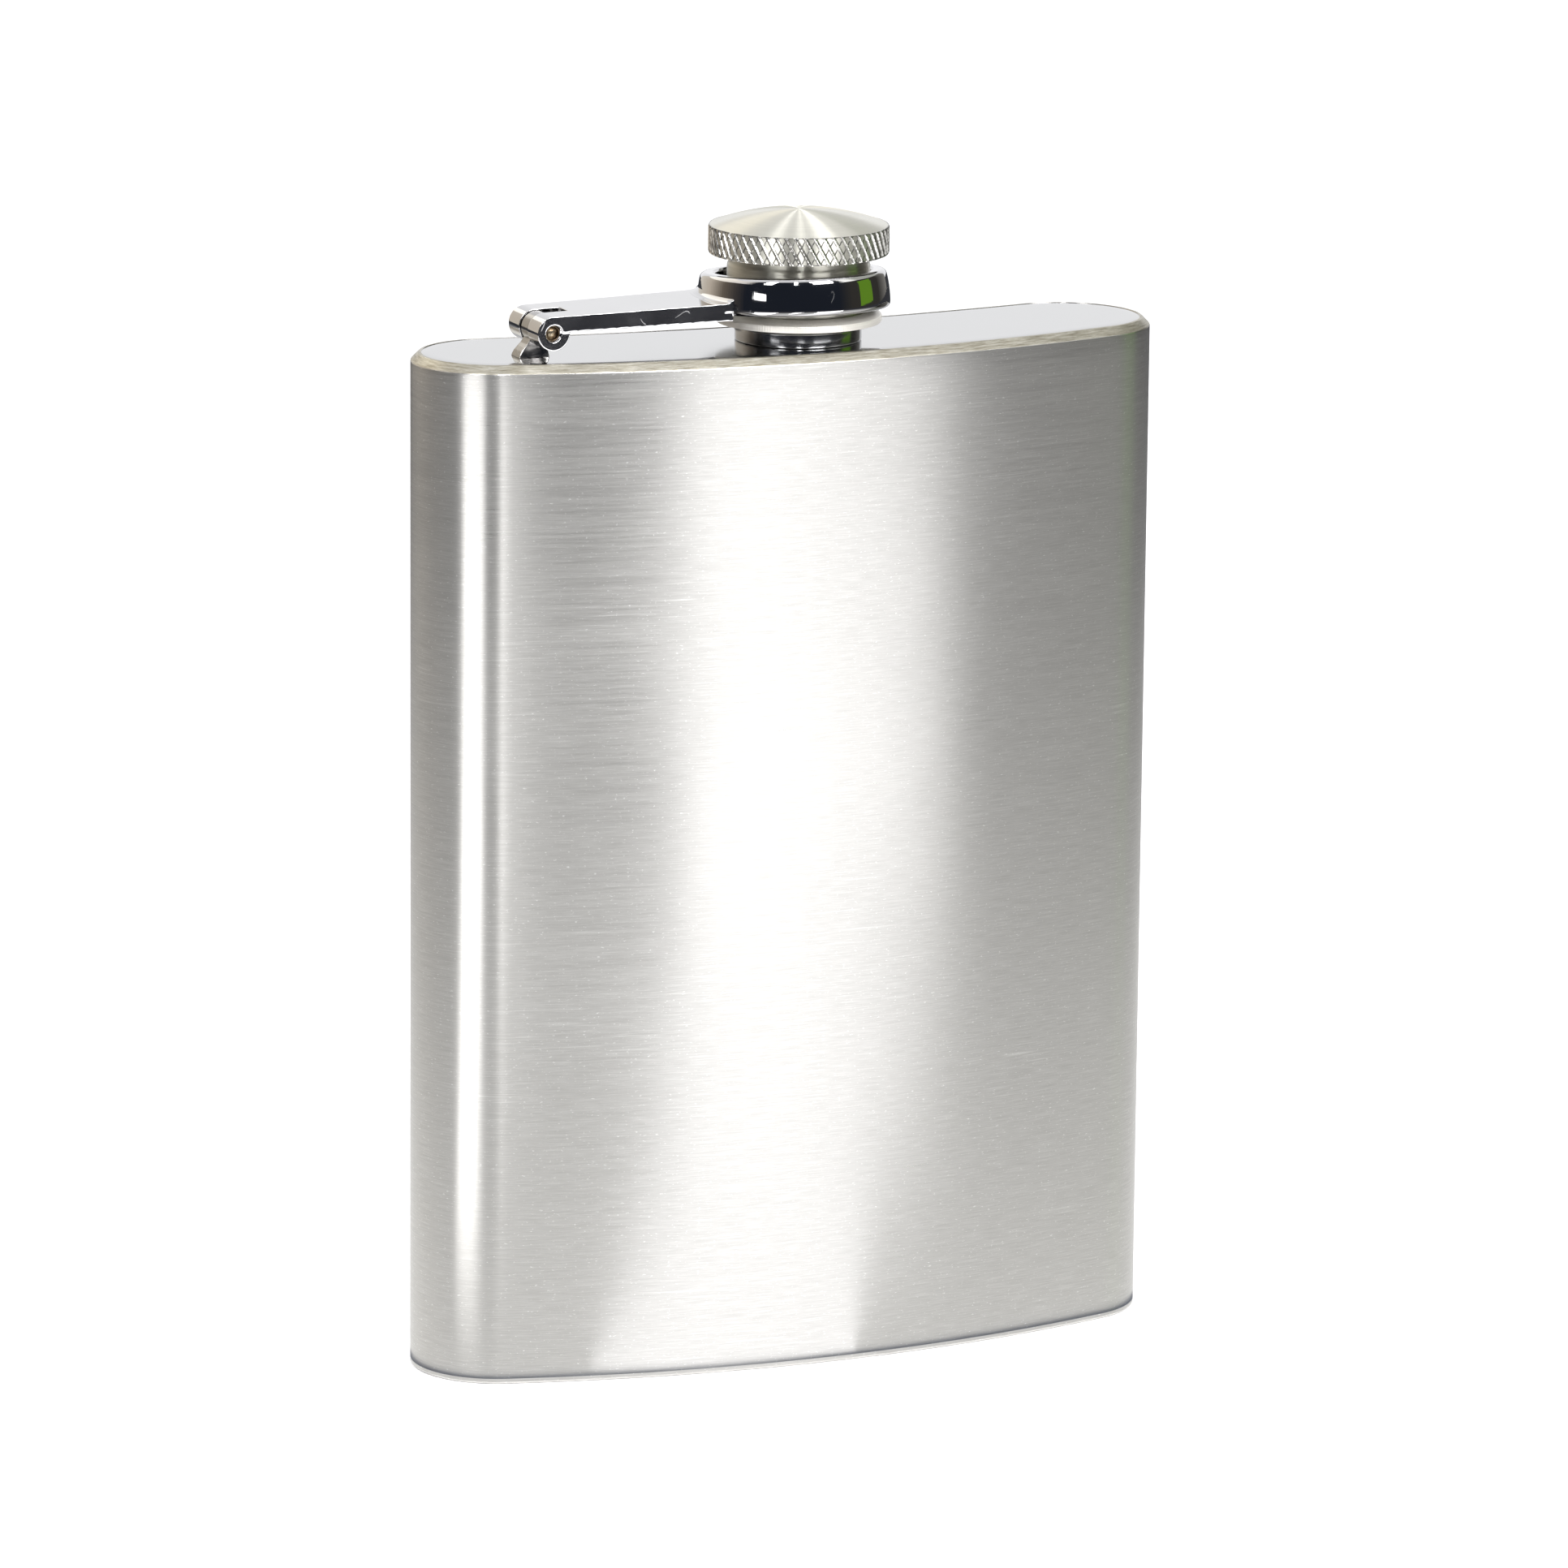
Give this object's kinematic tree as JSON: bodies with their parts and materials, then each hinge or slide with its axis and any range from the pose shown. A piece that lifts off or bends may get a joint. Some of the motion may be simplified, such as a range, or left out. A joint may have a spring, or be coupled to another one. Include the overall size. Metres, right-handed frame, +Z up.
{
  "type": "hip flask",
  "caption": "Flat kidney-section steel hip flask with a knurled screw cap held captive in the ring of a hinged cast arm.",
  "frame": {"origin": "centre of the base face, on the neck's axis", "axes": "+Z up along the neck, +X along the width away from the hinge, +Y towards the concave back"},
  "size_m": [0.095, 0.0262, 0.1404],
  "materials": {
    "body_wall": "brushed along the width",
    "top_plate": "mirror polished",
    "bottom_plate": "polished",
    "neck_spout": "turned and polished",
    "hinge_bracket": "plated, slightly dull",
    "hinge_pin": "dull, browned end",
    "hinge_arm": "bright plated casting",
    "cap_head": "turned face, knurled rim",
    "cap_retaining_flange": "turned",
    "cap_liner": "moulded",
    "cap_gasket": "matt"
  },
  "bodies": {
    "flask": {"body_wall": "body_wall", "top_plate": "top_plate", "bottom_plate": "bottom_plate", "neck_spout": "neck_spout", "hinge_bracket": "hinge_bracket"},
    "arm": {"hinge_arm": "hinge_arm", "hinge_pin": "hinge_pin"},
    "cap": {"cap_head": "cap_head", "cap_retaining_flange": "cap_retaining_flange", "cap_liner": "cap_liner", "cap_gasket": "cap_gasket"}
  },
  "joints": [
    {"name": "arm_swing", "type": "hinge", "parent": "flask", "child": "arm", "pos_m": [-0.0334, 0, 0.1279], "axis": [0, -1, 0], "range_deg": [0, 180]},
    {"name": "cap_screw", "type": "hinge", "parent": "arm", "child": "cap", "pos_m": [0, 0, 0.13515], "axis": [0, 0, 1], "range_deg": [0, 720]}
  ]
}
